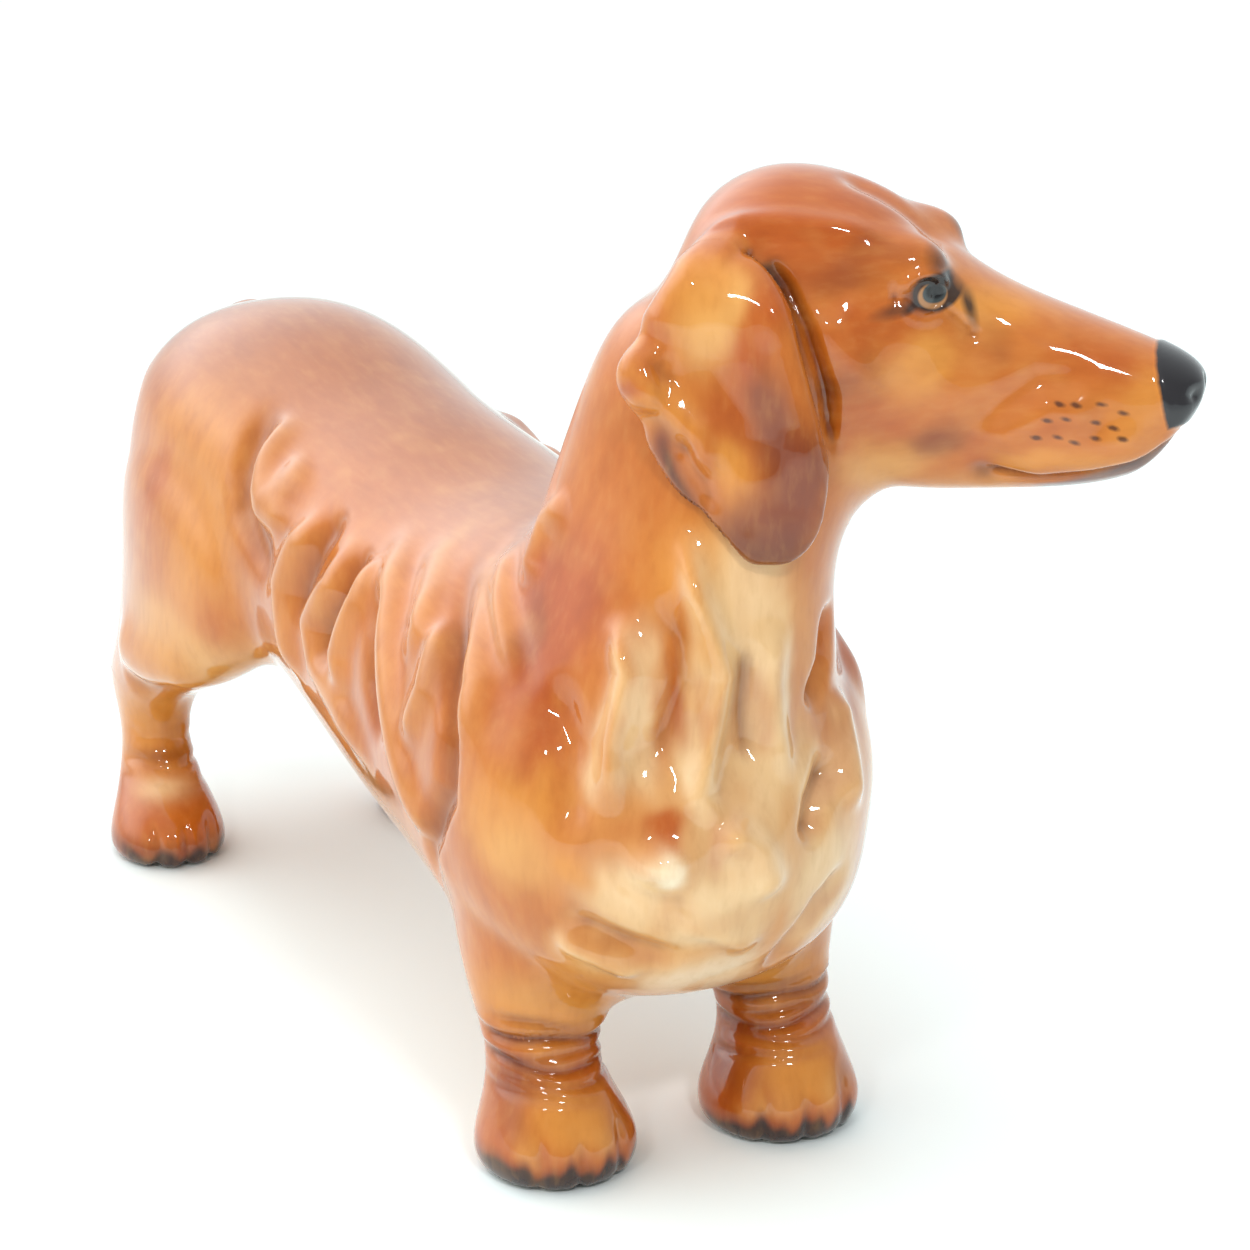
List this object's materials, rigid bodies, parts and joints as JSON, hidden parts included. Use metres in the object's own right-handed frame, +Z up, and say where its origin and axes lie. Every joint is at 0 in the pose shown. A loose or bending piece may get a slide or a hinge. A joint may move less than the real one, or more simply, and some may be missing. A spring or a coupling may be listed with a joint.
{
  "type": "dog figurine",
  "caption": "Glazed ceramic dachshund figurine standing with its head turned to its left; an ornament that rests on a shelf or table.",
  "frame": {"origin": "centre of the bounding box in plan, on the plane the soles stand on", "axes": "+X the way the dog's body faces, +Y its left side, +Z up"},
  "size_m": [0.151, 0.075, 0.1033],
  "materials": {
    "glaze": "glossy",
    "slip": "matt"
  },
  "bodies": {
    "root": {"body_casting": "glaze", "head_casting": "glaze", "neck_slip": "slip", "ear_right": "glaze", "ear_slip_right": "slip", "ear_left": "glaze", "ear_slip_left": "slip", "foreleg_right": "glaze", "foreleg_slip_right": "slip", "foreleg_left": "glaze", "foreleg_slip_left": "slip", "hind_leg_right": "glaze", "hind_leg_slip_right": "slip", "hind_leg_left": "glaze", "hind_leg_slip_left": "slip", "tail": "glaze", "tail_slip": "slip"}
  },
  "joints": []
}
